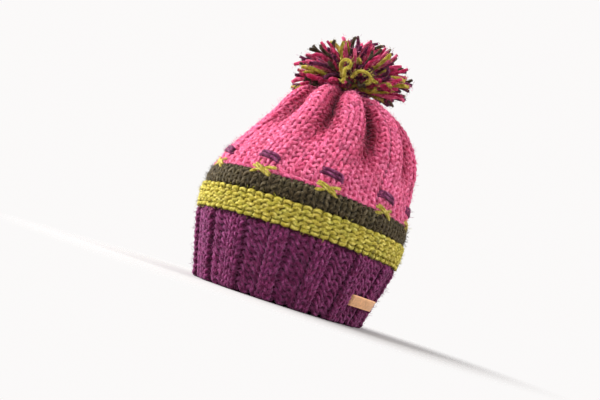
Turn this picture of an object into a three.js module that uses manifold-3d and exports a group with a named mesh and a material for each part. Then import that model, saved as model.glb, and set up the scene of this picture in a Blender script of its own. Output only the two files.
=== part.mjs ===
// A chunky hand-knitted bobble hat, standing on its rim.
//
// The knitting is one round tube of 60 stitches: a ribbed brim, a garter band, a plain dark
// band and a crown drawn in over ten folds to a flattened gathered top. A loose pompom of
// yarn ends is tied on top, and a leather tab is sewn over one rib at the side.
//
// Millimetres, +Z up, front of the hat towards -Y, origin in the middle of the rim on the
// surface that the hat stands on. Bearings are degrees from +X towards +Y.

import * as THREE from "three";
import { mergeVertices } from "three/addons/utils/BufferGeometryUtils.js";
import Module from "manifold-3d";

// Knitting, measured over its outside
const hatWidth = 202; // ear to ear, over the garter band
const hatDepth = 220; // front to back, over the garter band
const brimHeight = 66;
const garterHeight = 22;
const bandHeight = 20;
const crownHeight = 112;
const knitThickness = 6.2;
const seamGap = 0.3; // between one colour's rows and the next

// Ribs of the brim: two raised knit stitches, two sunk purl stitches
const ribCount = 15;
const ribBearing = 20;
const ribProud = 3;
const ribCrest = 0.13; // half of the flat crest, as a share of the rib pitch
const ribFoot = 0.27; // half of the whole raised part, as a share of the rib pitch

// Garter band: rows of purl bumps
const garterRows = 4;
const garterProud = 2.2;

// Crown: a narrow knit rib along each fold, and a gathered valley beside it
const foldCount = 10;
const foldBearing = 0.2;
const foldDepth = 13;
const foldRibProud = 1.6;
const valleyWidth = 7; // degrees from a valley's floor to where it has mostly risen
const crownSag = 12; // how far the loose crown sags to one side, at its most
const crownSagBearing = 45;

// Pompom of cut yarn ends, tied down on the gathered crown
const pompomSpread = 62; // from its tie to the tips at the side
const pompomRise = 47; // from its tie to the tips at the top
const pompomDroop = 13; // how far the tips at the side hang below the tie
const pompomLean = 10; // degrees that it tips up on the side the crown sags to
const pompomTieHeight = 10; // from the top of the knitting to the tie
const heartRadius = 28; // of the packed middle
const heartHeight = 18; // of the packed middle, either side of the tie
const lockCount = 60;
const lockRadius = 5;

// Leather tab, arched over one rib with both ends sewn down beside it
const tabLength = 56;
const tabHeight = 11;
const tabThickness = 1.6;
const tabCentreHeight = 24; // above the rim
const tabGap = 0.3;

// The hat's outline from rim to crown. rise is a share of the named piece's height, girth a
// share of the hat's greatest width and depth, without the relief of the stitches. A piece
// ends where the next one starts.
const SECTIONS = [
  { piece: "brim", rise: 0, girth: 0.79 },
  { piece: "brim", rise: 0.35, girth: 0.85 },
  { piece: "brim", rise: 0.7, girth: 0.912 },
  { piece: "garter", rise: 0, girth: 0.962 },
  { piece: "garter", rise: 0.5, girth: 0.975 },
  { piece: "band", rise: 0, girth: 0.978 },
  { piece: "band", rise: 0.5, girth: 0.976 },
  { piece: "crown", rise: 0, girth: 0.953 },
  { piece: "crown", rise: 0.11, girth: 0.917 },
  { piece: "crown", rise: 0.22, girth: 0.882 },
  { piece: "crown", rise: 0.36, girth: 0.832 },
  { piece: "crown", rise: 0.52, girth: 0.77 },
  { piece: "crown", rise: 0.67, girth: 0.69 },
  { piece: "crown", rise: 0.79, girth: 0.608 },
  { piece: "crown", rise: 0.88, girth: 0.515 },
  { piece: "crown", rise: 0.95, girth: 0.38 },
  { piece: "crown", rise: 0.99, girth: 0.19 },
  { piece: "crown", rise: 1, girth: 0 },
];

// Valleys of the gathered crown, one after each fold. place is where its floor lies between
// two folds, depth a share of foldDepth, start the share of the crown's height where it opens.
const VALLEYS = [
  { place: 0.4, depth: 0.9, start: 0.2 },
  { place: 0.46, depth: 0.78, start: 0.3 },
  { place: 0.37, depth: 0.88, start: 0.22 },
  { place: 0.44, depth: 0.72, start: 0.34 },
  { place: 0.41, depth: 0.84, start: 0.24 },
  { place: 0.47, depth: 0.74, start: 0.3 },
  { place: 0.38, depth: 0.9, start: 0.2 },
  { place: 0.42, depth: 0.8, start: 0.28 },
  { place: 0.38, depth: 0.86, start: 0.2 },
  { place: 0.36, depth: 1, start: 0.14 },
];

const heights = {
  brim: brimHeight,
  garter: garterHeight,
  band: bandHeight,
  crown: crownHeight,
};
const order = Object.keys(heights);
const base = {};
let knitTop = 0;
for (const piece of order) {
  base[piece] = knitTop;
  knitTop += heights[piece];
}

const { clamp, degToRad, lerp, radToDeg, smoothstep } = THREE.MathUtils;
const meanHalf = (hatWidth + hatDepth) / 4;

// The outline as one smooth curve of (girth, height) through the sections.
const outline = new THREE.SplineCurve(
  SECTIONS.map(
    ({ piece, rise, girth }) =>
      new THREE.Vector2(girth, base[piece] + rise * heights[piece]),
  ),
);
const lastSection = SECTIONS.length - 1;
const firstSection = (piece) => SECTIONS.findIndex((row) => row.piece === piece);
const endSection = (piece) =>
  piece === order.at(-1) ? lastSection : firstSection(order[order.indexOf(piece) + 1]);

// Degrees from one bearing to another, the short way round.
const turn = (from, to) => ((((to - from) % 360) + 540) % 360) - 180;

// How far a bearing lies from the nearest of count even bearings, as a share of their pitch.
function fromNearest(first, count, bearing) {
  const away = (turn(first, bearing) * count) / 360;
  return Math.abs(away - Math.round(away));
}

// How far the gathered crown lies in from its outline: Gaussian valleys that deepen with
// height and fade where they meet at the top.
function gather(bearing, rise) {
  const pitch = 360 / foldCount;
  return VALLEYS.reduce((sum, { place, depth, start }, i) => {
    const away = turn(foldBearing + (i + place) * pitch, bearing) / valleyWidth;
    return sum + depth * smoothstep(rise, start, start + 0.5) * Math.exp(-away * away);
  }, 0);
}

// How far the crown sags sideways at a height: a sine squared of its rise, which is most
// at five eighths of the way up and a third of that at the tie.
function sag(height) {
  const rise = clamp((height - base.crown) / crownHeight, 0, 1);
  const away = crownSag * Math.sin((Math.PI * rise) / 1.25) ** 2;
  const angle = degToRad(crownSagBearing);
  return [away * Math.cos(angle), away * Math.sin(angle)];
}

// Relief of each piece, outwards from its outline, at a bearing, rise and mean radius.
const reliefs = {
  brim(bearing, rise) {
    const rib = 1 - smoothstep(fromNearest(ribBearing, ribCount, bearing), ribCrest, ribFoot);
    return ribProud * rib * (1 - 0.5 * smoothstep(rise, 0.86, 1));
  },
  garter(bearing, rise) {
    return garterProud * Math.sqrt(Math.abs(Math.sin(Math.PI * garterRows * rise)));
  },
  band() {
    return 0;
  },
  crown(bearing, rise, radius) {
    const rib = 1 - smoothstep(fromNearest(foldBearing, foldCount, bearing), 0.1, 0.24);
    const proud = foldRibProud * rib * smoothstep(rise, 0, 0.1);
    const room = Math.min(1, radius / (3.2 * foldDepth));
    return room * (proud - foldDepth * gather(bearing, rise));
  },
};

// One point of a piece's wall. row runs from 0 at its lower edge to 1 at its upper edge, and
// depth is measured inwards from the outside of the knitting: level beside the edges where
// two pieces meet, and square to the outline up the crown.
function wallPoint(piece, bearing, row, depth, relief = reliefs[piece]) {
  const t = lerp(firstSection(piece), endSection(piece), row) / lastSection;
  const place = outline.getPoint(t);
  const slope = outline.getPoint(clamp(t + 1e-3, 0, 1));
  slope.sub(outline.getPoint(clamp(t - 1e-3, 0, 1)));
  const rise = (place.y - base[piece]) / heights[piece];
  const radius = place.x * meanHalf;
  const slant = piece === "crown" ? smoothstep(rise, 0, 0.2) : 0;
  const square = new THREE.Vector2(slope.y, -slope.x * meanHalf * slant).normalize();
  const offset = relief(bearing, rise, radius) - depth;
  const away = radius > 0 ? offset * square.x : 0;
  let z = place.y + offset * square.y;
  if (row === 0 && piece !== "brim") z = base[piece] + seamGap / 2;
  if (row === 1 && piece !== "crown") z = base[piece] + heights[piece] - seamGap / 2;
  const angle = degToRad(bearing);
  const [sagX, sagY] = sag(place.y);
  return [
    sagX + Math.max(0, (hatWidth / 2) * place.x + away) * Math.cos(angle),
    sagY + Math.max(0, (hatDepth / 2) * place.x + away) * Math.sin(angle),
    z,
  ];
}

// A closed mesh from rings of points, each joined to the next and the last to the first.
// Points that coincide are merged, so a ring shrunk to one point closes the surface there.
function closedRings(rings) {
  const columns = rings[0].length;
  const index = [];
  rings.forEach((ring, r) => {
    const above = (r + 1) % rings.length;
    for (let c = 0; c < columns; c++) {
      const next = (c + 1) % columns;
      const [a, b] = [r * columns + c, r * columns + next];
      const [d, e] = [above * columns + c, above * columns + next];
      index.push(a, b, e, a, e, d);
    }
  });
  const loose = new THREE.BufferGeometry();
  loose.setAttribute("position", new THREE.Float32BufferAttribute(rings.flat(2), 3));
  loose.setIndex(index);
  const merged = mergeVertices(loose, 1e-3);
  const corners = merged.index.array;
  const kept = [];
  for (let i = 0; i < corners.length; i += 3) {
    const [a, b, c] = corners.subarray(i, i + 3);
    if (a !== b && b !== c && c !== a) kept.push(a, b, c);
  }
  merged.setIndex(kept);
  merged.computeVertexNormals();
  return merged;
}

// A ring of a piece's wall at one row and depth.
function wallRing(piece, columns, row, depth, relief) {
  const first = piece === "brim" ? ribBearing : foldBearing;
  return Array.from({ length: columns }, (_, c) =>
    wallPoint(piece, first + (c * 360) / columns, row, depth, relief),
  );
}

// A piece of the knitting: up its outside, then back down its inside.
function knitWall(piece, columns, outerRows, innerRows) {
  const rings = [];
  for (let r = 0; r <= outerRows; r++)
    rings.push(wallRing(piece, columns, r / outerRows, 0));
  for (let r = innerRows; r >= 0; r--)
    rings.push(wallRing(piece, columns, r / innerRows, knitThickness));
  return closedRings(rings);
}

const wasm = await Module();
wasm.setup();

// A closed geometry as a manifold-3d solid.
function toSolid(geometry) {
  const bare = new THREE.BufferGeometry();
  bare.setAttribute("position", geometry.getAttribute("position"));
  bare.setIndex(geometry.index);
  const merged = mergeVertices(bare, 1e-3);
  return new wasm.Manifold(
    new wasm.Mesh({
      numProp: 3,
      vertProperties: new Float32Array(merged.attributes.position.array),
      triVerts: new Uint32Array(merged.index.array),
    }),
  );
}

// A manifold-3d solid as a geometry.
function toGeometry(solid) {
  const { numProp, numVert, vertProperties, triVerts } = solid.getMesh();
  const positions = new Float32Array(numVert * 3);
  for (let i = 0; i < numVert; i++)
    positions.set(vertProperties.subarray(i * numProp, i * numProp + 3), i * 3);
  const geometry = new THREE.BufferGeometry();
  geometry.setAttribute("position", new THREE.BufferAttribute(positions, 3));
  geometry.setIndex(new THREE.BufferAttribute(triVerts, 1));
  geometry.computeVertexNormals();
  return geometry;
}

// A lock of yarn ends: a six-sided tube along a bent path, closed at both ends.
function lock(path, radii) {
  const sides = 6;
  const rings = path.map((centre, i) => {
    const along = path[Math.min(i + 1, path.length - 1)].clone();
    along.sub(path[Math.max(i - 1, 0)]).normalize();
    const side = new THREE.Vector3(0, 0, 1).cross(along);
    if (side.length() < 0.2) side.set(1, 0, 0);
    side.normalize();
    const up = along.clone().cross(side);
    return Array.from({ length: sides }, (_, s) => {
      const angle = (s * 2 * Math.PI) / sides;
      const point = centre.clone().addScaledVector(side, radii[i] * Math.cos(angle));
      return point.addScaledVector(up, radii[i] * Math.sin(angle)).toArray();
    });
  });
  const start = rings[0].map(() => path[0].toArray());
  const end = rings[0].map(() => path.at(-1).toArray());
  return closedRings([start, ...rings, end]);
}

// A solid dome over the crown's folds, with their valleys filled, raised by a clearance.
function domeOverCrown(clearance) {
  const columns = 40;
  const rows = 10;
  const overFolds = (bearing, rise, radius) => reliefs.crown(foldBearing, rise, radius);
  const rings = [wallRing("crown", columns, 0, 0).map(() => [0, 0, base.crown])];
  for (let r = 1; r <= rows; r++)
    rings.push(wallRing("crown", columns, r / rows, -clearance, overFolds));
  return closedRings(rings);
}

// Locks fan out round the tie on a golden-angle spiral, with the ones at the side hanging a
// little. What would sink into the knitting is cut away.
function pompom() {
  const tie = new THREE.Vector3(...sag(knitTop), knitTop + pompomTieHeight);
  const goldenAngle = Math.PI * (3 - Math.sqrt(5));
  const leanAxis = new THREE.Vector3(...sag(knitTop), 0).normalize();
  leanAxis.cross(new THREE.Vector3(0, 0, 1));
  const lowest = -0.35;
  const heart = new THREE.SphereGeometry(1, 16, 10);
  heart.rotateX(Math.PI / 2);
  heart.scale(heartRadius, heartRadius, heartHeight);
  heart.translate(tie.x, tie.y, tie.z);
  const solids = [toSolid(heart)];
  for (let i = 0; i < lockCount; i++) {
    const up = lerp(lowest, 1, (i + 0.5) / lockCount);
    const out = Math.sqrt(1 - up * up);
    const bearing = i * goldenAngle;
    const height = up > 0 ? pompomRise * up : (-pompomDroop * up) / lowest;
    const tip = new THREE.Vector3(Math.cos(bearing), Math.sin(bearing), 0);
    tip.multiplyScalar(pompomSpread * out).setZ(height);
    tip.multiplyScalar(1 - 0.06 * Math.sin(5 * i) ** 2);
    tip.applyAxisAngle(leanAxis, degToRad(pompomLean));
    const middle = tip.clone().multiplyScalar(0.55);
    middle.z += (pompomDroop * out * out) / 4;
    const path = [tie, middle.add(tie), tip.add(tie)];
    solids.push(toSolid(lock(path, [0.35, 0.85, 1].map((k) => k * lockRadius))));
  }
  const whole = wasm.Manifold.union(solids);
  return toGeometry(whole.subtract(toSolid(domeOverCrown(seamGap))));
}

// The leather tab follows the brim's outline and arches over the rib under its middle.
function leatherTab() {
  const pieces = 14;
  const reach = radToDeg(tabLength / (hatWidth * SECTIONS[1].girth));
  const low = (tabCentreHeight - tabHeight / 2) / brimHeight;
  const high = (tabCentreHeight + tabHeight / 2) / brimHeight;
  const rings = [];
  for (let i = 0; i <= pieces; i++) {
    const share = (2 * i) / pieces - 1;
    const bearing = ribBearing + reach * share;
    const arch = ribProud * Math.cos((share * Math.PI) / 2) ** 2;
    const lift = tabGap + Math.max(arch, reliefs.brim(bearing, low));
    const corner = (row, height) => wallPoint("brim", bearing, row, -height, () => 0);
    rings.push([
      corner(low, lift),
      corner(high, lift),
      corner(high, lift + tabThickness),
      corner(low, lift + tabThickness),
    ]);
  }
  const middle = (ring) => {
    const centre = [0, 1, 2].map((k) => ring.reduce((sum, p) => sum + p[k] / 4, 0));
    return ring.map(() => centre);
  };
  return closedRings([middle(rings[0]), ...rings, middle(rings.at(-1))]);
}

const hat = new THREE.Group();

function addPiece(name, geometry, color, roughness) {
  const material = new THREE.MeshStandardMaterial({ color, roughness, metalness: 0 });
  const mesh = new THREE.Mesh(geometry, material);
  mesh.name = name;
  hat.add(mesh);
}

addPiece("ribbed_brim", knitWall("brim", ribCount * 8, 4, 2), 0x612645, 0.95);
addPiece("garter_band", knitWall("garter", 60, garterRows * 2, 2), 0xb5a344, 0.95);
addPiece("plain_band", knitWall("band", 60, 3, 2), 0x4e3b33, 0.95);
addPiece("gathered_crown", knitWall("crown", foldCount * 10, 10, 5), 0xd36082, 0.95);
addPiece("pompom", pompom(), 0x8a2f52, 0.95);
addPiece("leather_tab", leatherTab(), 0xce9373, 0.6);

export default hat;
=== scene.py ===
"""A chunky hand-knitted bobble hat: looped yarn, a tied pompom and a leather tab.

Shapes are worked out in millimetres and turned into metres when they become meshes.
Bearings are degrees from +X towards +Y. The outline's length runs up the hat from its rim.
"""

import math

import bpy
import numpy as np
from mathutils import Matrix, Quaternion, Vector


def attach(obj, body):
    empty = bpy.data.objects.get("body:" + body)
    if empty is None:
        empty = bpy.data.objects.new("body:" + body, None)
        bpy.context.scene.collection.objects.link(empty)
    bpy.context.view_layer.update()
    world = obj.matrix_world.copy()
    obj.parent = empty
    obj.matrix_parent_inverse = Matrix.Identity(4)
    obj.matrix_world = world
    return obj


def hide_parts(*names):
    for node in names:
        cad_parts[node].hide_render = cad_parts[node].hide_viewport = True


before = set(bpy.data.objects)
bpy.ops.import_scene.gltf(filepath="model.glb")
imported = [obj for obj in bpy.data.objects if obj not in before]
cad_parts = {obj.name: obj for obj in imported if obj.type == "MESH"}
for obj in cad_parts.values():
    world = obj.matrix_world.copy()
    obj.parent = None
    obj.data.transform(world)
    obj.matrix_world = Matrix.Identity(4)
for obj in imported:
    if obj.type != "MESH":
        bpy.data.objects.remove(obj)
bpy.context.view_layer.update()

MM = 0.001
KNITTING_SEED = 20
POMPOM_SEED = 31
rng = np.random.default_rng(KNITTING_SEED)

# The hat's sizes

HAT_WIDTH = 202.0
HAT_DEPTH = 220.0
MEAN_HALF = (HAT_WIDTH + HAT_DEPTH) / 4
HEIGHT = {"brim": 66.0, "garter": 22.0, "band": 20.0, "crown": 112.0}
TIERS = np.cumsum([0.0, *HEIGHT.values()])
BASE = dict(zip(HEIGHT, TIERS))
KNIT_TOP = TIERS[-1]

RIB_COUNT = 15
RIB_BEARING = 20.0
RIB_PROUD = 3.0
RIB_CREST = 0.13  # where the crest ends, as a share of the ribs' pitch from its middle
RIB_FOOT = 0.27
FURROW_DEPTH = 3.0
FURROW_PLACE = 0.2  # a share of the pitch too, as its width is
FURROW_WIDTH = 0.035
GARTER_PROUD = 2.2
BAND_PROUD = 0.6

FOLD_COUNT = 10
FOLD_BEARING = 0.2
FOLD_DEPTH = 13.0
FOLD_ROOM = 3.2  # the folds flatten where the radius is less than this many fold depths
FOLD_RIB_PROUD = 1.6
FOLD_RIB_CREST = 0.1
FOLD_RIB_FOOT = 0.24
VALLEY_WIDTH = 7.0  # degrees
VALLEY_OPENING = 0.5  # the share of the crown's rise over which a valley deepens
CROWN_FOOT = 0.2  # the share of the crown's height over which its relief turns upwards
CROWN_SAG = 12.0
CROWN_SAG_BEARING = 45.0
CROWN_SAG_SPAN = 1.25  # the sag would be none again at this share of the crown's height

YARN = {"brim": 4.3, "garter": 4.0, "band": 4.7, "crown": 4.7}  # the yarn's thickness
LOOP_DEPTH = 1.25  # how far a loop's legs and head stand before and behind its middle
FLATTENED = 0.46  # half of a strand's depth against the hat, as a share of its width

# piece, rise as a share of the piece's height, girth as a share of the hat's
SECTIONS = [
    ("brim", 0, 0.79),
    ("brim", 0.35, 0.85),
    ("brim", 0.7, 0.912),
    ("garter", 0, 0.962),
    ("garter", 0.5, 0.975),
    ("band", 0, 0.978),
    ("band", 0.5, 0.976),
    ("crown", 0, 0.953),
    ("crown", 0.11, 0.917),
    ("crown", 0.22, 0.882),
    ("crown", 0.36, 0.832),
    ("crown", 0.52, 0.77),
    ("crown", 0.67, 0.69),
    ("crown", 0.79, 0.608),
    ("crown", 0.88, 0.515),
    ("crown", 0.95, 0.38),
    ("crown", 0.99, 0.19),
    ("crown", 1, 0),
]

# place between two folds, depth as a share of FOLD_DEPTH, rise where it opens
VALLEYS = [
    (0.4, 0.9, 0.2),
    (0.46, 0.78, 0.3),
    (0.37, 0.88, 0.22),
    (0.44, 0.72, 0.34),
    (0.41, 0.84, 0.24),
    (0.47, 0.74, 0.3),
    (0.38, 0.9, 0.2),
    (0.42, 0.8, 0.28),
    (0.38, 0.86, 0.2),
    (0.36, 1.0, 0.14),
]


# Shape of the knitting


def smooth(x, low, high):
    """0 below low, 1 above high, and 3t^2 - 2t^3 between them."""
    t = np.clip((x - low) / (high - low), 0, 1)
    return t * t * (3 - 2 * t)


def turn(start, end):
    """Degrees from one bearing to another, the short way round."""
    return (end - start + 540) % 360 - 180


def from_nearest(first, count, bearing):
    """Distance from the nearest of count even bearings, as a share of their pitch."""
    away = turn(first, bearing) * count / 360
    return np.abs(away - np.round(away))


def through(knots, t):
    """Catmull-Rom curve through knots, for t from 0 to 1: a cubic between each two of them
    whose slope at a knot is half the step from the knot before to the knot after."""
    last = len(knots) - 1
    place = np.clip(t, 0, 1) * last
    i = np.minimum(place.astype(int), last - 1)
    w = (place - i)[..., None]
    before, here = knots[np.maximum(i - 1, 0)], knots[i]
    ahead, beyond = knots[i + 1], knots[np.minimum(i + 2, last)]
    v0, v1 = (ahead - before) / 2, (beyond - here) / 2
    cubic = (2 * here - 2 * ahead + v0 + v1) * w + (3 * ahead - 3 * here - 2 * v0 - v1)
    return (cubic * w + v0) * w + here


SECTION_POINTS = np.array([[girth, BASE[p] + rise * HEIGHT[p]] for p, rise, girth in SECTIONS])


def section_curve(t):
    """Girth and height through the sections, for t from 0 to 1."""
    return through(SECTION_POINTS, t)


TABLE_T = np.linspace(0, 1, 4001)
TABLE_CURVE = section_curve(TABLE_T)
TABLE_STEP = np.diff(TABLE_CURVE * [MEAN_HALF, 1], axis=0)
TABLE_LENGTH = np.concatenate([[0], np.cumsum(np.hypot(*TABLE_STEP.T))])
NUDGE = 1e-3  # the step in t to each side that gives the outline's slope


def length_at(height):
    """Length up the outline to a height."""
    return np.interp(height, TABLE_CURVE[:, 1], TABLE_LENGTH)


def sag(height):
    """How far the crown sags sideways at a height: a sine squared of its rise, which is most
    at five eighths of the way up and a third of that at the tie."""
    rise = np.clip((height - BASE["crown"]) / HEIGHT["crown"], 0, 1)
    away = CROWN_SAG * np.sin(math.pi * rise / CROWN_SAG_SPAN) ** 2
    angle = math.radians(CROWN_SAG_BEARING)
    return away * math.cos(angle), away * math.sin(angle)


def gathered(bearing, rise):
    """How deep the valleys between the folds are, as a share of FOLD_DEPTH: bell curves over
    the bearing, which deepen smoothly as the crown rises."""
    deep = 0 * bearing
    for i, (place, depth, start) in enumerate(VALLEYS):
        away = turn(FOLD_BEARING + (i + place) * 360 / FOLD_COUNT, bearing) / VALLEY_WIDTH
        deep = deep + depth * smooth(rise, start, start + VALLEY_OPENING) * np.exp(-away * away)
    return deep


def relief(piece, bearing, rise, radius):
    """How far the knitting's outside stands off the outline. The brim has ribs with smooth
    flanks and a bell-shaped furrow in each flank, and they fade by half under the garter
    band. The garter and plain bands are even. The crown has low ribs less its valleys."""
    if piece == "brim":
        from_rib = from_nearest(RIB_BEARING, RIB_COUNT, bearing)
        rib = 1 - smooth(from_rib, RIB_CREST, RIB_FOOT)
        furrow = np.exp(-(((from_rib - FURROW_PLACE) / FURROW_WIDTH) ** 2))
        return (RIB_PROUD * rib - FURROW_DEPTH * furrow) * (1 - 0.5 * smooth(rise, 0.86, 1))
    if piece == "garter":
        return GARTER_PROUD + 0 * bearing
    if piece == "band":
        return BAND_PROUD + 0 * bearing
    from_fold = from_nearest(FOLD_BEARING, FOLD_COUNT, bearing)
    rib = 1 - smooth(from_fold, FOLD_RIB_CREST, FOLD_RIB_FOOT)
    room = np.minimum(1, radius / (FOLD_ROOM * FOLD_DEPTH))
    deep = FOLD_DEPTH * gathered(bearing, rise)
    return room * (FOLD_RIB_PROUD * rib * smooth(rise, 0, 0.1) - deep)


def on_hat(piece, bearing, length, depth):
    """Points and outward directions: the outline turned round the oval, pushed out by the
    piece's relief and in by a depth. That push is level on the brim and the bands, and turns
    square to the outline over the foot of the crown."""
    t = np.interp(length, TABLE_LENGTH, TABLE_T)
    place = section_curve(t)
    slope = section_curve(t + NUDGE) - section_curve(t - NUDGE)
    rise = np.clip((place[..., 1] - BASE[piece]) / HEIGHT[piece], 0, 1)
    radius = place[..., 0] * MEAN_HALF
    crown_foot = BASE["crown"] + CROWN_FOOT * HEIGHT["crown"]
    slant = smooth(place[..., 1], BASE["crown"], crown_foot)
    out, up = slope[..., 1], -slope[..., 0] * MEAN_HALF * slant
    size = np.hypot(out, up) + 1e-9
    out, up = out / size, up / size
    offset = relief(piece, bearing, rise, radius) - depth
    angle = np.radians(bearing)
    sag_x, sag_y = sag(place[..., 1])
    x = sag_x + np.maximum(0, HAT_WIDTH / 2 * place[..., 0] + offset * out) * np.cos(angle)
    y = sag_y + np.maximum(0, HAT_DEPTH / 2 * place[..., 0] + offset * out) * np.sin(angle)
    z = place[..., 1] + offset * up
    outwards = np.stack([out * np.cos(angle), out * np.sin(angle), up], -1)
    return np.stack([x, y, z], -1), outwards


LEVEL = {piece: float(length_at(BASE[piece])) for piece in BASE}
TOP = float(TABLE_LENGTH[-1])


# Tubes and meshes


def unit(vectors):
    """Vectors divided by their lengths."""
    return vectors / (np.linalg.norm(vectors, axis=-1, keepdims=True) + 1e-12)


def tube_rings(paths, outwards, across, over, sides, closed):
    """Ellipses carried along paths: across their width, over their thickness, which faces
    outwards. Gives the rings, their outward directions and the angle round the tube."""
    if closed:
        along = unit(np.roll(paths, -1, axis=1) - np.roll(paths, 1, axis=1))
    else:
        along = unit(np.gradient(paths, axis=1))
    high = unit(outwards - along * (outwards * along).sum(-1, keepdims=True))
    wide = np.cross(high, along)
    angle = np.arange(sides) * 2 * math.pi / sides
    across = np.broadcast_to(across, paths.shape[:2])[..., None, None]
    over = np.broadcast_to(over, paths.shape[:2])[..., None, None]
    cos, sin = np.cos(angle)[:, None], np.sin(angle)[:, None]
    spokes = across * cos * wide[:, :, None] + over * sin * high[:, :, None]
    return paths[:, :, None] + spokes, unit(spokes), angle


def loft(rings, closed):
    """Points, and faces between neighbouring rings of many tubes. A closed tube's last ring
    joins its first, and an open one has a fan of triangles to a pole at each end."""
    tubes, count, sides, _ = rings.shape
    start = np.arange(tubes)[:, None, None] * count * sides
    ring = np.arange(count if closed else count - 1)[None, :, None]
    side = np.arange(sides)[None, None, :]
    here, above = start + ring * sides, start + (ring + 1) % count * sides
    ahead = (side + 1) % sides
    quads = np.stack([here + side, here + ahead, above + ahead, above + side], -1)
    points = rings.reshape(-1, 3)
    if closed:
        return points, [quads.reshape(-1, 4)]
    poles = np.concatenate([rings[:, 0].mean(1), rings[:, -1].mean(1)])
    first_pole = len(points) + np.arange(tubes)[:, None] + 0 * side[0]
    last_pole = first_pole + tubes
    low, high = start[:, 0] + side[0], start[:, 0] + (count - 1) * sides + side[0]
    low_ahead = start[:, 0] + ahead[0]
    high_ahead = start[:, 0] + (count - 1) * sides + ahead[0]
    bottom = np.stack([first_pole, low_ahead, low], -1).reshape(-1, 3)
    top = np.stack([last_pole, high, high_ahead], -1).reshape(-1, 3)
    return np.concatenate([points, poles]), [quads.reshape(-1, 4), bottom, top]


class Heap:
    """Yarn and sheets gathered for one piece: points, blocks of faces, outward directions,
    dye, which also holds painted shade in the crown's valleys and on the sheets behind the
    loops, and twine, which is the place along the strand and round it."""

    def __init__(self):
        self.points, self.faces, self.dyes, self.twines, self.normals = [], [], [], [], []
        self.count = 0

    def add(self, points, faces, dye, twine, normals=None):
        """Adds points and faces, with one dye and twine for all of them or one for each."""
        self.faces += [block + self.count for block in faces]
        self.count += len(points)
        self.points.append(points)
        self.dyes.append(np.broadcast_to(dye, (len(points), 3)))
        self.twines.append(np.broadcast_to(twine, (len(points), 3)))
        self.normals.append(np.zeros((len(points), 3)) if normals is None else normals)

    def piece(self, name, material, slot, *nodes):
        """One mesh object of all that was gathered, riding on the hat."""
        points = np.concatenate(self.points)
        mesh = bpy.data.meshes.new(name)
        mesh.vertices.add(len(points))
        mesh.vertices.foreach_set("co", (points * MM).astype(np.float32).ravel())
        corners = np.concatenate([block.ravel() for block in self.faces])
        sizes = np.concatenate([np.full(len(block), block.shape[1]) for block in self.faces])
        mesh.loops.add(len(corners))
        mesh.loops.foreach_set("vertex_index", corners.astype(np.int32))
        mesh.polygons.add(len(sizes))
        starts = np.concatenate([[0], np.cumsum(sizes)[:-1]])
        mesh.polygons.foreach_set("loop_start", starts.astype(np.int32))
        mesh.polygons.foreach_set("use_smooth", np.full(len(sizes), True))
        mesh.update(calc_edges=True)
        dye = np.ones((len(points), 4), np.float32)
        dye[:, :3] = np.concatenate(self.dyes)
        dye_layer = mesh.attributes.new("dye", "FLOAT_COLOR", "POINT")
        dye_layer.data.foreach_set("color", dye.ravel())
        twine = np.concatenate(self.twines).astype(np.float32)
        twine_layer = mesh.attributes.new("twine", "FLOAT_VECTOR", "POINT")
        twine_layer.data.foreach_set("vector", twine.ravel())
        mesh.materials.append(material)
        made = bpy.data.objects.new(name, mesh)
        bpy.context.scene.collection.objects.link(made)
        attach(made, "root")
        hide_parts(*nodes)


# Dyes


def linear(red, green, blue):
    """A colour as light, from its display values out of 255."""
    value = np.array([red, green, blue]) / 255
    return np.where(value < 0.04045, value / 12.92, ((value + 0.055) / 1.055) ** 2.4)


DYE = {
    "purple": linear(108, 38, 79),
    "olive": linear(174, 160, 63),
    "dark": linear(70, 60, 41),
    "pink": linear(206, 92, 128),
    "rose": linear(191, 53, 100),
    "plum": linear(103, 37, 75),
    "tan": linear(222, 168, 122),
}


def all_one(colour, count):
    """The same dye for each of count stitches."""
    return np.tile(DYE[colour], (count, 1))


# Stitches

STEPS = 12  # points along one stitch's yarn
SIDES = 6  # corners round a strand
NO_TWINE = [0.0, 1.0, 0.0]  # for fibres and sheets, which show no plies and get the painted shade of a yarn's sides
WANDER = 0.32  # how unevenly the stitches stand up and down, in millimetres
UNEVEN = 0.22  # the same, in and out
SHADE_UNEVEN = 0.09  # how unevenly they took the dye
TINT_UNEVEN = 0.02  # the same, for each of red, green and blue
VALLEY_PAINTED_SHADE = 0.85  # how much painted shade darkens the dye in the deepest valley
FIBRE_HALF = 0.17  # half a fibre's thickness
FLOAT_DEPTH = 2.0  # how far in a carried strand lies where its knots say 0
SHEET = 0.8  # thickness of the sheet behind the loops


def yarn_along(heap, path, outwards, colour, thickness, closed=False):
    """One strand of yarn along a path, a little flattened against the hat."""
    rings, normals, angle = tube_rings(
        path[None], outwards[None], thickness / 2, FLATTENED * thickness, SIDES, closed
    )
    gone = np.linalg.norm(np.diff(path, axis=0, prepend=path[:1]), axis=1).cumsum()
    twine = np.empty((len(path), SIDES, 3))
    twine[..., 0] = gone[:, None]
    twine[..., 1], twine[..., 2] = np.cos(angle), np.sin(angle)
    colour = np.broadcast_to(colour, (len(path), 3))
    colour = np.repeat(colour, SIDES, axis=0)
    points, faces = loft(rings, closed)
    twine, normals = twine.reshape(-1, 3), normals.reshape(-1, 3)
    if not closed:
        colour = np.concatenate([colour, colour[:1], colour[-1:]])
        twine = np.concatenate([twine, [NO_TWINE, NO_TWINE]])
        normals = np.concatenate([normals, np.zeros((2, 3))])
    heap.add(points, faces, colour, twine, normals)


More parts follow.
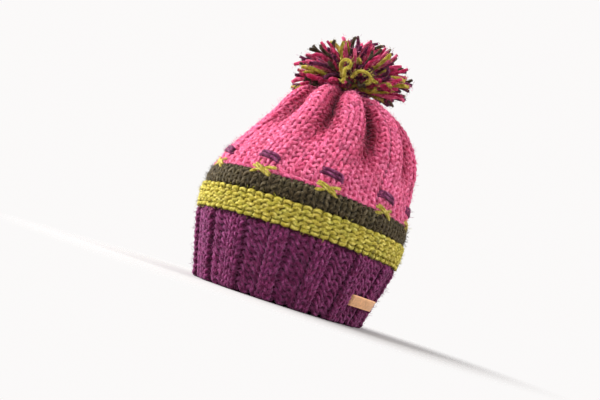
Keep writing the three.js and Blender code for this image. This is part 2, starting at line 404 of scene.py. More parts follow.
def knit_row(
    heap,
    piece,
    length,
    edges,
    signs,
    dyes,
    spacing,
    yarn,
    reach,
    fall=0.0,
    sunk=(0.0, 0.0),
    swell=0.24,
    lean=0.0,
):
    """One round of loops between the edges, a knit stitch for each sign of 1 and a purl for
    each of -1. Over a stitch, t goes from 0 to 2 pi: the yarn runs t / 2 pi along plus swell
    of sin 2t, drops and climbs by -cos t, and stands forward by -cos 2t, which brings the
    legs forward in a knit stitch and the heads in a purl. Its head stands aside of its feet
    by twice lean. swell and lean are shares of a stitch, and reach is how far its feet and
    heads go, as shares of the spacing of rows. fall blends a purl into one whose falling leg
    stands forward by -sin t and takes three quarters of its width. sunk is how far its feet
    and heads stand back, in millimetres. Deep in a valley its dye is darker and richer:
    painted shade."""
    count = len(signs)
    t = np.arange(STEPS) * 2 * math.pi / STEPS
    before, after = np.roll(signs, 1)[:, None], np.roll(signs, -1)[:, None]
    enter = smooth(t, -math.pi / 3, math.pi / 3)
    leave = smooth(t, 5 * math.pi / 3, 7 * math.pi / 3)
    sign = before * (1 - enter) + signs[:, None] * (enter - leave) + after * leave
    fall = fall * (1 - sign) / 2
    stitch = np.arange(count)[:, None]
    place = stitch + t / (2 * math.pi) + swell * (1 - fall) * np.sin(2 * t)
    place = place - 0.25 * fall * np.sin(t / 2) ** 2 - lean * np.cos(t)
    bearing = np.interp(place, np.arange(count + 1), edges)
    climb = -np.cos(t)
    wander = rng.normal(0, WANDER, (count, 1))
    lift = spacing * climb * np.where(climb < 0, *reach) + wander
    forward = -LOOP_DEPTH * (np.cos(2 * t) * sign * (1 - fall) + np.sin(t) * fall)
    inset = yarn / 2 + LOOP_DEPTH - forward + rng.normal(0, UNEVEN, (count, 1))
    inset += sunk[0] * smooth(-climb, -0.4, 0.6) + sunk[1] * smooth(climb, -0.4, 0.6)
    points, outwards = on_hat(piece, bearing, length + lift, inset)
    points[..., 2] = np.maximum(points[..., 2], yarn / 2)
    shade = rng.normal(1, SHADE_UNEVEN, (count, 1, 1)) * rng.normal(1, TINT_UNEVEN, (count, 1, 3))
    # painted shade: deep in a crown valley the dye is raised to a power and dimmed, darker and
    # richer
    rise = (points[..., 2:] - BASE["crown"]) / HEIGHT["crown"]
    deep = gathered(bearing[..., None], np.clip(rise, 0, 1))
    shade = shade * (1 - VALLEY_PAINTED_SHADE * np.minimum(1, deep))
    colour = (dyes[:, None] ** (1 + deep) * shade).reshape(-1, 3)
    yarn_along(heap, points.reshape(-1, 3), outwards.reshape(-1, 3), colour, yarn, True)


def float_bar(heap, knots, length, dye, thickness):
    """A strand carried over the two knit stitches of every fold, along its knots."""
    for fold in range(FOLD_COUNT):
        place = through(knots + rng.normal(0, 0.05, knots.shape), np.linspace(0, 1, 20))
        bearing = FOLD_BEARING + (fold + place[:, 0] / FOLD_STITCHES) * 360 / FOLD_COUNT
        depth = FLOAT_DEPTH + place[:, 2]
        path, outwards = on_hat("crown", bearing, length + place[:, 1], depth)
        yarn_along(heap, path, outwards, DYE[dye] * rng.normal(1, 0.06), thickness)


def fuzz(heap, count, length):
    """Stray fibres of about a length, rooted anywhere on the yarn and slanted at random, with
    every second one standing further off it. Each is a thin spindle of six faces: a root, a
    bent middle of three corners, and a tip."""
    points, outwards = np.concatenate(heap.points), np.concatenate(heap.normals)
    dyes = np.concatenate(heap.dyes)
    rooted = np.flatnonzero(np.linalg.norm(outwards, axis=1) > 0.5)
    picked = rng.choice(rooted, count)
    outward, slanted = outwards[picked], rng.normal(0, 0.75, (count, 3))
    stands = np.where(np.arange(count) % 2 == 0, 0.9, 0.3)[:, None]
    first = unit(stands * outward + slanted)
    second = unit((stands - 0.5) * outward + slanted + rng.normal(0, 0.5, (count, 3)))
    size = length * rng.uniform(0.5, 1.3, (count, 1))
    root = points[picked] + 0.05 * outward
    middle = root + 0.5 * size * first
    tip = middle + 0.5 * size * second
    across = unit(np.cross(first + second, [0.31, 0.52, 0.79]))
    over = unit(np.cross(first + second, across))
    angle = np.arange(3)[:, None] * 2 * math.pi / 3
    ring = middle[:, None] + FIBRE_HALF * (
        np.cos(angle) * across[:, None] + np.sin(angle) * over[:, None]
    )
    corners = np.concatenate([root[:, None], ring, tip[:, None]], axis=1)
    corners[..., 2] = np.maximum(corners[..., 2], 0.1)
    spindle = [(0, 2, 1), (0, 3, 2), (0, 1, 3), (4, 1, 2), (4, 2, 3), (4, 3, 1)]
    faces = 5 * np.arange(count)[:, None, None] + np.array(spindle)
    tint = np.minimum(1, dyes[picked] ** 0.8 * rng.uniform(0.6, 2.3, (count, 1)))
    colour = np.repeat(tint, 5, axis=0)
    heap.add(corners.reshape(-1, 3), [faces.reshape(-1, 3)], colour, NO_TWINE)


def backing(heap, piece, low, high, dye, columns, rows, depth):
    """A thin sheet in the middle of the knitting, which closes the gaps between loops: rings
    up its outside and down its inside, at even lengths from low to high. Its colour is the
    dye to the power 1.2, darker and richer: painted shade in the gaps."""
    bearing = np.linspace(0, 360, columns, endpoint=False)
    up = np.linspace(low, high, rows)
    rings = [on_hat(piece, bearing, np.full(columns, s), depth)[0] for s in up]
    rings += [on_hat(piece, bearing, np.full(columns, s), depth + SHEET)[0] for s in up[::-1]]
    points, faces = loft(np.array(rings)[None], True)
    points[:, 2] = np.maximum(points[:, 2], 0.6)
    # painted shade: the dye to the power 1.2, darker where the sheet shows in the gaps
    heap.add(points, faces, DYE[dye] ** 1.2, NO_TWINE)


def rows_between(low, high, count):
    """The lengths of count rows' middles between two lengths, and the rows' spacing."""
    spacing = (high - low) / count
    return low + (np.arange(count) + 0.5) * spacing, spacing


# The brim and the bands

STITCHES = 60  # round the brim, the plain band and the foot of the crown
FOLD_STITCHES = STITCHES // FOLD_COUNT
GARTER_STITCHES = 72
KNIT_SHARE = 0.187  # a knit stitch's width on the brim, as a share of the ribs' pitch
BRIM_ROWS = 12
GARTER_ROWS = 4
BAND_ROWS = 4


def rib_edges():
    """Stitch edges of the brim: two knit stitches centred on each rib, about 7.6 mm wide,
    and two purl stitches of 12.8 mm that share the rest of the pitch."""
    shares = np.array([0, KNIT_SHARE, 2 * KNIT_SHARE, 0.5 + KNIT_SHARE])
    start = RIB_BEARING - KNIT_SHARE * 360 / RIB_COUNT
    edges = start + (np.arange(RIB_COUNT)[:, None] + shares) * 360 / RIB_COUNT
    return np.append(edges.ravel(), start + 360)


def fold_edges(each):
    """Even stitch edges, each of them to a fold. The first two stitches, or the only one, are
    centred on the fold."""
    start = FOLD_BEARING - min(1, each / 2) * 360 / (FOLD_COUNT * each)
    return start + np.arange(FOLD_COUNT * each + 1) * 360 / (FOLD_COUNT * each)


def knit_brim():
    """Rounds of two knit and two purl stitches. The last one's heads are short and sink in
    under the garter band."""
    brim = Heap()
    backing(brim, "brim", 3.0, LEVEL["garter"], "purple", columns=180, rows=10, depth=3.3)
    lengths, spacing = rows_between(0.8, LEVEL["garter"], BRIM_ROWS)
    edges = rib_edges()
    signs = np.tile([1.0, 1.0, -1.0, -1.0], RIB_COUNT)
    dyes = all_one("purple", STITCHES)
    for row, length in enumerate(lengths):
        last = row == BRIM_ROWS - 1
        reach, sunk = ((0.7, 0.1), (0, 2.5)) if last else ((0.7, 0.7), (0, 0))
        knit_row(
            brim,
            "brim",
            length,
            edges,
            signs,
            dyes,
            spacing,
            yarn=YARN["brim"],
            reach=reach,
            fall=0.85,
            sunk=sunk,
        )
    return brim


def knit_garter():
    """Rounds of leaning purl stitches. The first feet and the last heads are short, so the
    band ends in an uneven row of loops above and below."""
    garter = Heap()
    low, high = LEVEL["garter"], LEVEL["band"]
    backing(garter, "garter", low, high, "olive", columns=120, rows=5, depth=4.6)
    lengths, spacing = rows_between(low + 1.2, high - 1.2, GARTER_ROWS)
    edges = np.linspace(0, 360, GARTER_STITCHES + 1)
    purl = -np.ones(GARTER_STITCHES)
    dyes = all_one("olive", GARTER_STITCHES)
    for row, length in enumerate(lengths):
        reach = (0.55 if row == 0 else 0.78, 0.45 if row == GARTER_ROWS - 1 else 0.78)
        knit_row(
            garter,
            "garter",
            length,
            edges,
            purl,
            dyes,
            spacing,
            yarn=YARN["garter"],
            reach=reach,
            swell=0.2,
            lean=0.12,
        )
    return garter


def knit_band():
    """Rounds of knit stitches. The first feet and the last heads are short and sink in under
    the bands beside them."""
    band = Heap()
    low, high = LEVEL["band"], LEVEL["crown"]
    backing(band, "band", low, high, "dark", columns=120, rows=5, depth=4.2)
    lengths, spacing = rows_between(low, high, BAND_ROWS)
    edges = fold_edges(FOLD_STITCHES)
    knit = np.ones(STITCHES)
    dyes = all_one("dark", STITCHES)
    for row, length in enumerate(lengths):
        first, last = row == 0, row == BAND_ROWS - 1
        reach = (0.4 if first else 0.8, 0.3 if last else 0.8)
        sunk = (2.0 if first else 0, 2.5 if last else 0)
        knit_row(
            band,
            "band",
            length,
            edges,
            knit,
            dyes,
            spacing,
            yarn=YARN["band"],
            reach=reach,
            sunk=sunk,
        )
    return band


# The crown

CROWN_ROWS = 28
CROWN_OPEN_ROWS = 2  # left out at the top, under the pompom
CROWN_LOW_ROWS = 12
STITCH_WIDTH = 9.6

# stitches from the fold's middle, millimetres up, and millimetres into the knitting
PLUM_BAR = np.array(
    [
        (-1.15, 0.0, 4.0),
        (-1.0, 1.0, 0.2),
        (-0.55, 1.3, -1.2),
        (0.0, 0.7, -1.6),
        (0.55, -0.2, -1.4),
        (0.95, -1.7, -0.6),
        (1.12, -3.4, 4.0),
    ]
)
OLIVE_FALL = np.array(
    [
        (-1.15, 3.0, 4.0),
        (-0.95, 2.6, -0.2),
        (-0.4, 1.2, -1.5),
        (0.1, -0.8, -1.9),
        (0.6, -3.0, -1.4),
        (0.9, -4.8, -0.4),
        (1.0, -5.6, 4.0),
    ]
)
OLIVE_RISE = np.array(
    [
        (-1.1, -5.0, 4.0),
        (-0.95, -4.4, 0.0),
        (-0.5, -2.8, -0.7),
        (0.0, -0.4, 0.0),
        (0.5, 1.8, -0.8),
        (0.95, 3.4, 0.0),
        (1.15, 3.9, 4.0),
    ]
)


def knit_crown():
    """The crown's lower and upper knitting. A round of purl heads stands over the dark band,
    and then each round has two knit stitches to a fold and as many purl stitches as its
    girth has room for. Olive and plum strands cross every fold near the foot."""
    low, high = Heap(), Heap()
    foot = LEVEL["crown"]
    lengths, spacing = rows_between(foot, TOP, CROWN_ROWS)
    backing(low, "crown", foot, TOP - 1, "pink", columns=180, rows=18, depth=3.0)
    knit_row(
        low,
        "crown",
        lengths[0] - spacing,
        fold_edges(FOLD_STITCHES),
        -np.ones(STITCHES),
        all_one("pink", STITCHES),
        spacing,
        yarn=4.2,
        reach=(0, 0.62),
        sunk=(3.5, 0),
    )
    for row, length in enumerate(lengths[:-CROWN_OPEN_ROWS]):
        radius = section_curve(np.interp(length, TABLE_LENGTH, TABLE_T))[0] * MEAN_HALF
        room = 2 * math.pi * radius / (FOLD_COUNT * STITCH_WIDTH)
        each = int(np.clip(round(room), 1, FOLD_STITCHES))
        count = FOLD_COUNT * each
        signs = np.where(np.arange(count) % each < 2, 1.0, -1.0)
        knit_row(
            low if row < CROWN_LOW_ROWS else high,
            "crown",
            length,
            fold_edges(each),
            signs,
            all_one("pink", count),
            spacing,
            yarn=YARN["crown"],
            reach=(0.35 if row == 0 else 0.8, 0.8),
            fall=0.6,
        )
    float_bar(low, OLIVE_RISE, foot + 0.8, "olive", 3.8)
    float_bar(low, OLIVE_FALL, foot, "olive", 3.2)
    float_bar(low, OLIVE_FALL * [0.85, 0.9, 1], foot + 2.4, "olive", 3.2)
    float_bar(low, PLUM_BAR, lengths[2] - 1.8, "plum", 4.2)
    float_bar(low, PLUM_BAR * [0.94, 0.9, 1], lengths[2] + 1.7, "plum", 4.2)
    return low, high


# The pompom

TIE = np.array([*sag(KNIT_TOP), KNIT_TOP + 10.0])
SPREAD = 62.0  # from the tie to its sides
RISE = 47.0  # from the tie to its top
DROOP = 9.0  # how far its sides hang under the tie
TILT = 13.0  # degrees that its top leans away from the crown's sag
STRANDS = 450
LOWEST = -0.4  # how far down the strands point, where -1 is straight down
RIGHT = np.array([0.7071, 0.7071, 0])
AHEAD = np.array([0.7071, -0.7071, 0])  # towards the hat's front corner
PARTING = unit(AHEAD + [0, 0, -0.12])
PARTED = 30.0  # degrees that the strands stand aside from the parting
SHORT_PARTED = 8.0  # the same, for the short strands that cover the middle

# dye, and the share of strands that it and the ones before it take
POMPOM_DYES = [("rose", 0.32), ("pink", 0.46), ("plum", 0.69), ("dark", 0.87), ("olive", 1.0)]


def tuft_tips():
    """Directions on a golden-angle spiral, spread away from the parting, and the tips that
    they reach on a flattened ball whose sides droop. Every sixth strand is a short one."""
    share = (np.arange(STRANDS) + 0.5) / STRANDS
    up = LOWEST + (1 - LOWEST) * share
    bearing = np.arange(STRANDS) * math.pi * (3 - math.sqrt(5))
    out = np.sqrt(1 - up * up)
    aim = np.stack([out * np.cos(bearing), out * np.sin(bearing), up], 1)
    aim = unit(aim + rng.normal(0, 0.1, aim.shape))
    short = np.arange(STRANDS) % 6 == 0
    parted = np.where(short, SHORT_PARTED, PARTED)
    facing = np.degrees(np.arccos(np.clip(aim @ PARTING, -1, 1)))
    facing = np.radians(parted + facing * (1 - parted / 180))[:, None]
    sideways = unit(aim - PARTING * (aim @ PARTING)[:, None])
    aim = PARTING * np.cos(facing) + sideways * np.sin(facing)
    aim[:, 2] = np.clip(aim[:, 2], LOWEST, 1)
    reach = np.clip(rng.normal(0.91, 0.09, STRANDS), 0.7, 1.02)
    reach = np.where(short, 0.7 * reach, reach)[:, None]
    height = np.where(aim[:, 2] > 0, RISE * aim[:, 2], DROOP * aim[:, 2] / -LOWEST)
    tips = np.stack([SPREAD * aim[:, 0], SPREAD * aim[:, 1], height], 1) * reach
    side = math.radians(CROWN_SAG_BEARING)
    axis = Vector((math.sin(side), -math.cos(side), 0))
    return aim, tips @ np.array(Matrix.Rotation(math.radians(TILT), 3, axis)).T


def strand_paths(tip):
    """Cubic paths from the tie to the tips, which rise off the knitting first and then hang
    over. Their two middle knots stray, so that each bends its own way."""
    flat = np.linalg.norm(tip[:, :2], axis=1) / SPREAD
    root = unit(tip) * 5.0 + rng.normal(0, 1.5, tip.shape)
    bend = 0.4 * tip + rng.normal(0, 5.0, tip.shape)
    bend[:, 2] += 0.6 * DROOP * flat**2
    hang = 0.78 * tip + rng.normal(0, 5.5, tip.shape)
    hang[:, 2] += 0.3 * DROOP * flat**2
    t = np.linspace(0, 1, 9)[None, :, None]
    start, ahead, beyond, end = (knot[:, None] for knot in (root, bend, hang, tip))
    early, late = 3 * t * (1 - t) ** 2, 3 * t * t * (1 - t)
    return TIE + (1 - t) ** 3 * start + early * ahead + late * beyond + t**3 * end


def strand_dyes(aim):
    """Five dyes in loose clumps: slow waves over the directions rank the strands, and the
    ranks, run through five times, choose between the dyes."""
    wave = np.sin(aim @ [4.1, 2.3, 3.7] + 1.0) + np.sin(aim @ [-3.2, 4.4, 1.9])
    order = np.argsort(np.argsort(wave + rng.normal(0, 1.1, len(aim)))) / len(aim)
    names, shares = zip(*POMPOM_DYES)
    return np.array([DYE[name] for name in names])[np.searchsorted(shares, (order * 5) % 1)]


def cut_strands(heap, paths, dyes, thickness):
    """Soft tubes along the paths that swell a little towards the cut end and narrow at it."""
    rise = np.linspace(0, 1, paths.shape[1])
    size = thickness / 2 * (0.92 + 0.16 * smooth(rise, 0.5, 0.95) - 0.3 * smooth(rise, 0.93, 1))
    level = np.cross(paths[:, -1] - paths[:, 0], [0, 0, 1.0])
    level = np.where(np.linalg.norm(level, axis=1, keepdims=True) < 2, [1.0, 0, 0], level)
    outwards = np.broadcast_to(unit(level)[:, None], paths.shape)
    width = size * rng.uniform(0.88, 1.12, (len(paths), 1))
    rings, normals, angle = tube_rings(paths, outwards, width, width * 0.86, SIDES, False)
    gone = np.linalg.norm(np.diff(paths, axis=1, prepend=paths[:, :1]), axis=2).cumsum(1)
    twine = np.empty(rings.shape)
    twine[..., 0] = gone[..., None] + rng.uniform(0, 40, (len(paths), 1, 1))
    twine[..., 1], twine[..., 2] = np.cos(angle), np.sin(angle)
    points, faces = loft(rings, False)
    poles = 2 * len(paths)
    colour = np.broadcast_to(dyes[:, None, None], rings.shape).reshape(-1, 3)
    heap.add(
        points,
        faces,
        np.concatenate([colour, dyes, dyes]),
        np.concatenate([twine.reshape(-1, 3), np.tile(NO_TWINE, (poles, 1))]),
        np.concatenate([normals.reshape(-1, 3), np.zeros((poles, 3))]),
    )


# right, up and towards the front corner from the tie, millimetres
CURL = np.array(
    [
        (-12, -1, 38),
        (-15.5, 3, 44),
        (-15, 7.5, 47),
        (-11, 9.5, 49),
        (-7, 7, 50),
        (-7.5, 2.5, 49),
        (-10.5, 0.5, 49),
        (-10, -4, 49),
        (-9, -8.5, 47),
        (-10, -12, 45),
    ]
)
HOOK = np.array(
    [
        (-2, -4, 42),
        (0, 0, 47),
        (4, 2.5, 49),
        (9, 3, 50),
        (14, 1.5, 48),
        (17, -2, 43),
    ]
)


def loose_end(heap, knots, thickness):
    """One longer end of yarn that curls in front of the parting, along its knots."""
    place = through(knots, np.linspace(0, 1, 34))
    path = TIE + place[:, :1] * RIGHT + place[:, 1:2] * [0, 0, 1.0] + place[:, 2:] * AHEAD
    yarn_along(heap, path, np.broadcast_to(AHEAD, path.shape), DYE["olive"], thickness)


def tie_pompom():
    """The cut strands and the two longer ends."""
    pompom = Heap()
    aims, tips = tuft_tips()
    dyes = strand_dyes(aims) * rng.normal(1, 0.08, (STRANDS, 1))
    cut_strands(pompom, strand_paths(tips), dyes, 4.0)
    loose_end(pompom, CURL, 3.6)
    loose_end(pompom, HOOK, 3.4)
    return pompom


# The leather tab

TAB_LENGTH = 56.0
TAB_HEIGHT = 11.0
TAB_THICK = 1.6
TAB_CENTRE = 24.0  # its height over the rim
TAB_GIRTH = 0.85  # the hat's girth there, as a share of its widest
TAB_CLEAR = 0.3
TAB_TUCK = 2.6  # how far its ends turn in
TAB_STEPS = 61
TAB_SIDES = 24


def boxed(wave):
    """A cosine or sine drawn towards 1 and -1, which makes an ellipse nearly a box."""
    return np.sign(wave) * np.abs(wave) ** 0.35


def leather_tab():
    """A rounded strip carried round the brim at one height: it arches over the rib under
    its middle by a cosine squared, and its two ends turn in between the stitches."""
    share = np.linspace(-1, 1, TAB_STEPS)
    bearing = RIB_BEARING + math.degrees(TAB_LENGTH / (HAT_WIDTH * TAB_GIRTH)) * share
    rib = relief("brim", bearing, TAB_CENTRE / HEIGHT["brim"], MEAN_HALF)
    proud = np.maximum(RIB_PROUD * np.cos(share * math.pi / 2) ** 2, rib)
    proud = proud + TAB_CLEAR + TAB_THICK / 2 - TAB_TUCK * smooth(np.abs(share), 0.93, 1)
    length = np.full(TAB_STEPS, float(length_at(TAB_CENTRE)))
    path, outwards = on_hat("brim", bearing, length, rib - proud)
    above, _ = on_hat("brim", bearing, length + 1, rib - proud)
    up = unit(above - path)
    angle = np.arange(TAB_SIDES) * 2 * math.pi / TAB_SIDES
    across = TAB_HEIGHT / 2 * boxed(np.cos(angle))
    over = TAB_THICK / 2 * boxed(np.sin(angle))
    rings = path[:, None] + across[:, None] * up[:, None] + over[:, None] * outwards[:, None]
    points, faces = loft(rings[None], False)
    twine = np.zeros((len(points), 3))
    twine[:-2, 0] = np.repeat(share * TAB_LENGTH / 2, TAB_SIDES)
    twine[:-2, 1] = np.tile(across, TAB_STEPS)
    twine[:-2, 2] = np.tile(over, TAB_STEPS)
    tab = Heap()
    tab.add(points, faces, DYE["tan"], twine)
    return tab


# The making, in this order because the random draws follow it. For the stray fibres, their
# number and their length are given.

brim, garter, band = knit_brim(), knit_garter(), knit_band()
crown_low, crown_high = knit_crown()
fuzz(brim, 14500, 5.0)
fuzz(garter, 8000, 4.0)
fuzz(band, 8000, 5.0)
fuzz(crown_low, 9800, 5.0)
fuzz(crown_high, 11000, 5.0)

# the pompom has draws of its own, so it keeps its form when the knitting is changed
rng = np.random.default_rng(POMPOM_SEED)
pompom = tie_pompom()
fuzz(pompom, 12000, 4.5)
tab = leather_tab()


# Finishes

# the sockets of a Mix node that blends two colours
MIX_SHARE, MIX_FIRST, MIX_SECOND, MIX_RESULT = 0, 6, 7, 2

# how fine the patterns are, in cells to a metre
TONE_SCALE = 70.0
HEATHER_SCALE = 330.0
GRAIN_SCALE = 520.0
PORE_SCALE = 1400.0
FIBRE_SCALE = 1500.0
PLY_WIND = 0.62  # radians that the pattern of plies goes through in a millimetre of yarn


class Term:
    """A socket that takes arithmetic: each operator adds one Math node."""

    def __init__(self, finish, socket):
        self.finish, self.socket = finish, socket

    def __add__(self, other):
        return self.finish.maths("ADD", self, other)

    def __sub__(self, other):
        return self.finish.maths("SUBTRACT", self, other)

    def __rsub__(self, other):
        return self.finish.maths("SUBTRACT", other, self)

    def __mul__(self, other):
        return self.finish.maths("MULTIPLY", self, other)

    __radd__ = __add__
    __rmul__ = __mul__


class Finish:
    """One material, built up from nodes."""

    def __init__(self, name):
        self.material = bpy.data.materials.new(name)
        self.material.use_nodes = True
        self.tree = self.material.node_tree
        self.tree.nodes.clear()

    def node(self, kind, settings=None, sockets=None, output=0):
        """A node of a kind, with its settings and its sockets' values or links, and one of
        its outputs as a term."""
        made = self.tree.nodes.new("ShaderNode" + kind)
        for key, value in (settings or {}).items():
            setattr(made, key, value)
        for key, value in (sockets or {}).items():
            if isinstance(value, Term):
                self.tree.links.new(value.socket, made.inputs[key])
            else:
                made.inputs[key].default_value = value
        return Term(self, made.outputs[output])

    def maths(self, operation, first, second=0.0):
        """One Math node on one or two values."""
        return self.node("Math", {"operation": operation}, {0: first, 1: second})

    def parts(self, attribute):
        """The three numbers of a vector attribute."""
        vector = self.node("Attribute", {"attribute_name": attribute}, output="Vector")
        split = self.node("SeparateXYZ", sockets={0: vector}).socket.node
        return [Term(self, socket) for socket in split.outputs]

    def dye(self):
        """The colour that each point was given."""
        return self.node("Attribute", {"attribute_name": "dye"}, output="Color")

    def place(self):
        """The place on the hat, in metres."""
        return self.node("TexCoord", output="Object")

    def noise(self, place, scale, detail):
        """Cloudy values round a half."""
        return self.node("TexNoise", {}, {"Vector": place, "Scale": scale, "Detail": detail})

    def shaded(self, colour, mask, low, high):
        """A colour times low where the mask is 0 and times high where it is 1."""
        level = mask * (high - low) + low
        grey = self.node("CombineColor", {}, {0: level, 1: level, 2: level})
        return self.node(
            "Mix",
            {"data_type": "RGBA", "blend_type": "MULTIPLY"},
            {MIX_SHARE: 1.0, MIX_FIRST: colour, MIX_SECOND: grey},
            MIX_RESULT,
        )

    def bump(self, height, strength, distance):
        """A normal bent by a height."""
        sockets = {"Height": height, "Strength": strength, "Distance": distance}
        return self.node("Bump", {}, sockets)

    def surface(self, sockets):
        """Ends the material in one principled shader."""
        shader = self.node("BsdfPrincipled", {}, sockets)
        end = self.tree.nodes.new("ShaderNodeOutputMaterial")
        self.tree.links.new(shader.socket, end.inputs["Surface"])
        return self.material


def wool(name, sheen, edge, down):
    """Soft spun wool: two plies wind round the yarn, fibres streak it, and the dye is heathered.
    Painted shade darkens the grooves between the plies and, by edge, the yarn's sides and
    underside, which leaves its outward top lighter; where it is darker it is also richer.
    down is how much its surface fibres catch the light, and sheen is their tint."""
    finish = Finish(name)
    along, cos, sin = finish.parts("twine")
    wind = finish.maths("ARCTAN2", sin, cos) * 2 - along * PLY_WIND
    ply = finish.maths("SINE", wind) * 0.5 + 0.5
    place = finish.place()
    heather = finish.noise(place, HEATHER_SCALE, 3.0)
    along_yarn = finish.node("CombineXYZ", {}, {0: along * 0.35, 1: cos * 2.4, 2: sin * 2.4})
    streak = finish.noise(along_yarn, 2.6, 4.0)
    fibre = finish.noise(place, FIBRE_SCALE, 2.0)
    # painted shade: ply darkens the grooves between the plies; sin times edge lightens the
    # outward top and darkens the sides and underside
    mask = heather * 1.1 + streak * 0.9 + fibre * 0.6 + ply * 0.2 - 0.9
    mask = mask + sin * edge - 0.5 * edge
    rich = finish.node("Gamma", {}, {"Color": finish.dye(), "Gamma": 1.65 - mask})
    height = ply * 0.7 + streak * 0.8 + fibre * 0.6
    return finish.surface(
        {
            "Base Color": finish.shaded(rich, mask, 0.5, 1.5),
            "Roughness": 0.92,
            "Normal": finish.bump(height, 1.0, 0.0011),
            "Sheen Weight": down,
            "Sheen Roughness": 0.45,
            "Sheen Tint": (*sheen, 1),
            "Specular IOR Level": 0.12,
        }
    )


def tanned(name):
    """Smooth tanned leather: fine pores and grain, slow tone changes, and a paler colour towards
    its long edges, which comes up with the sixth power of the way from the strip's middle."""
    finish = Finish(name)
    place = finish.place()
    tone = finish.noise(place, TONE_SCALE, 4.0)
    grain = finish.noise(place, GRAIN_SCALE, 4.0)
    pores = finish.node("TexVoronoi", {}, {"Vector": place, "Scale": PORE_SCALE})
    _, across, _ = finish.parts("twine")
    edge = finish.maths("POWER", finish.maths("ABSOLUTE", across) * (2 / TAB_HEIGHT), 6.0)
    mask = tone * 0.7 + grain * 1.3 + edge * 0.9 + pores * 0.3 - 0.75
    colour = finish.shaded(finish.dye(), mask, 0.6, 1.25)
    bump = finish.bump(pores + grain, 0.5, 0.0004)
    return finish.surface({"Base Color": colour, "Roughness": 0.55, "Normal": bump})


# the third number is edge, the strength of the painted shade down the yarn's sides and underside
purple_wool = wool("purple_wool", (0.9, 0.4, 0.75), 0.3, 0.38)
olive_wool = wool("olive_wool", (1.0, 0.95, 0.5), 0.5, 0.2)
dark_wool = wool("dark_wool", (0.8, 0.8, 0.7), 0.3, 0.12)
pink_wool = wool("pink_wool", (1.0, 0.6, 0.8), 0.32, 0.24)
pompom_yarn = wool("pompom_yarn", (1.0, 0.75, 0.85), 0.0, 0.12)
tan_leather = tanned("tan_leather")

brim.piece("brim_knitting", purple_wool, "purple_wool", "ribbed_brim")
garter.piece("garter_knitting", olive_wool, "olive_wool", "garter_band")
band.piece("band_knitting", dark_wool, "dark_wool", "plain_band")
crown_low.piece("crown_knitting_low", pink_wool, "pink_wool", "gathered_crown")
crown_high.piece("crown_knitting_high", pink_wool, "pink_wool", "gathered_crown")
pompom.piece("pompom_strands", pompom_yarn, "pompom_yarn", "pompom")
tab.piece("tab_strip", tan_leather, "tan_leather", "leather_tab")


# Stage, light and camera, in metres

FLOOR_RINGS = np.array([0.1, 0.2, 0.3, 0.4])
FLOOR_SIDES = 64
FLOOR_SOLID = 0.14  # it is whole up to here, and gone at FLOOR_GONE
FLOOR_GONE = 0.3

CAMERA_BEARING = -45.0
CAMERA_DISTANCE = 0.72
CAMERA_HEIGHT = 0.02
CAMERA_ROLL = 18.0
CAMERA_AIM = Vector((-0.0066, -0.0066, 0.103))

# name, place, what it faces, width, watts, tint
LIGHTS = [
    ("key", (-0.75, -1.25, 1.35), (0, 0, 0.15), 1.1, 46, (1, 0.98, 0.96)),
    ("left_rim", (-2.2, -0.6, 1.0), (0, 0, 0.1), 2.2, 108, (1, 0.98, 1)),
    ("right_rim", (1.25, 0.7, 1.15), (0, 0, 0.15), 0.7, 17, (1, 0.97, 0.98)),
]


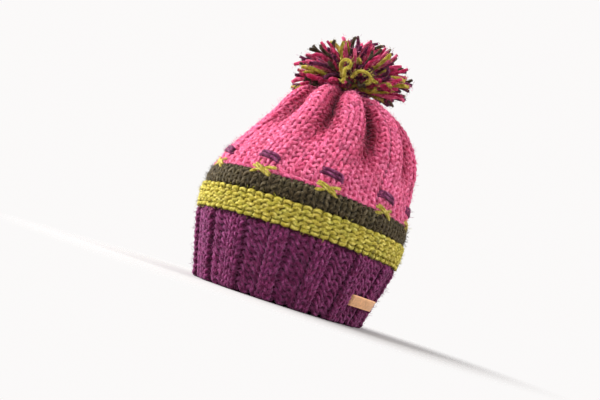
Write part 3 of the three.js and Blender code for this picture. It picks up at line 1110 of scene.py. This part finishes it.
def studio_floor():
    """A round pale floor: a fan about the middle, then rings to its edge. It fades into the
    white room by a smooth step of the distance from the middle."""
    radius = FLOOR_RINGS[:, None]
    angle = np.linspace(0, 2 * math.pi, FLOOR_SIDES, endpoint=False)
    rings = np.stack([radius * np.cos(angle), radius * np.sin(angle), 0 * radius * angle], -1)
    points, faces = loft(rings[None], True)
    quads = faces[0][: (len(FLOOR_RINGS) - 1) * FLOOR_SIDES, ::-1]
    side = np.arange(FLOOR_SIDES)
    fan = np.stack([np.full(FLOOR_SIDES, len(points)), side, (side + 1) % FLOOR_SIDES], 1)
    mesh = bpy.data.meshes.new("studio_floor")
    corners = np.concatenate([points, [[0, 0, 0]]])
    mesh.from_pydata(corners.tolist(), [], quads.tolist() + fan.tolist())
    finish = Finish("pale_floor")
    away = finish.node("VectorMath", {"operation": "LENGTH"}, {0: finish.place()}, "Value")
    fade = finish.node(
        "MapRange",
        {"interpolation_type": "SMOOTHSTEP"},
        {
            "Value": away,
            "From Min": FLOOR_SOLID,
            "From Max": FLOOR_GONE,
            "To Min": 1.0,
            "To Max": 0.0,
        },
    )
    pale = {"Base Color": (0.35, 0.346, 0.344, 1), "Roughness": 1.0, "Alpha": fade}
    mesh.materials.append(finish.surface(pale))
    floor = bpy.data.objects.new("studio_floor", mesh)
    bpy.context.scene.collection.objects.link(floor)


def white_sky():
    """An even white room, a touch warm."""
    world = bpy.data.worlds.new("studio")
    world.use_nodes = True
    background = world.node_tree.nodes["Background"]
    background.inputs["Color"].default_value = (1, 0.985, 0.98, 1)
    background.inputs["Strength"].default_value = 0.965
    bpy.context.scene.world = world


def soft_light(name, place, aim, size, watts, tint):
    """A round lamp at a place, turned to what it faces."""
    light = bpy.data.lights.new(name, "AREA")
    light.shape = "DISK"
    light.size = size
    light.energy = watts
    light.color = tint
    made = bpy.data.objects.new(name, light)
    made.location = place
    made.rotation_euler = (Vector(aim) - Vector(place)).to_track_quat("-Z", "Y").to_euler()
    bpy.context.scene.collection.objects.link(made)


def set_camera():
    """A camera low before the hat's corner, rolled so that the hat leans as in the photo."""
    lens = bpy.data.cameras.new("camera")
    lens.lens = 43.5
    lens.clip_start = 0.01
    camera = bpy.data.objects.new("camera", lens)
    bpy.context.scene.collection.objects.link(camera)
    side = math.radians(CAMERA_BEARING)
    camera.location = (
        CAMERA_DISTANCE * math.cos(side),
        CAMERA_DISTANCE * math.sin(side),
        CAMERA_HEIGHT,
    )
    look = (CAMERA_AIM - camera.location).to_track_quat("-Z", "Y")
    camera.rotation_mode = "QUATERNION"
    camera.rotation_quaternion = look @ Quaternion((0, 0, 1), math.radians(CAMERA_ROLL))
    bpy.context.scene.camera = camera


studio_floor()
white_sky()
for row in LIGHTS:
    soft_light(*row)
set_camera()
bpy.context.scene.view_settings.view_transform = "Standard"
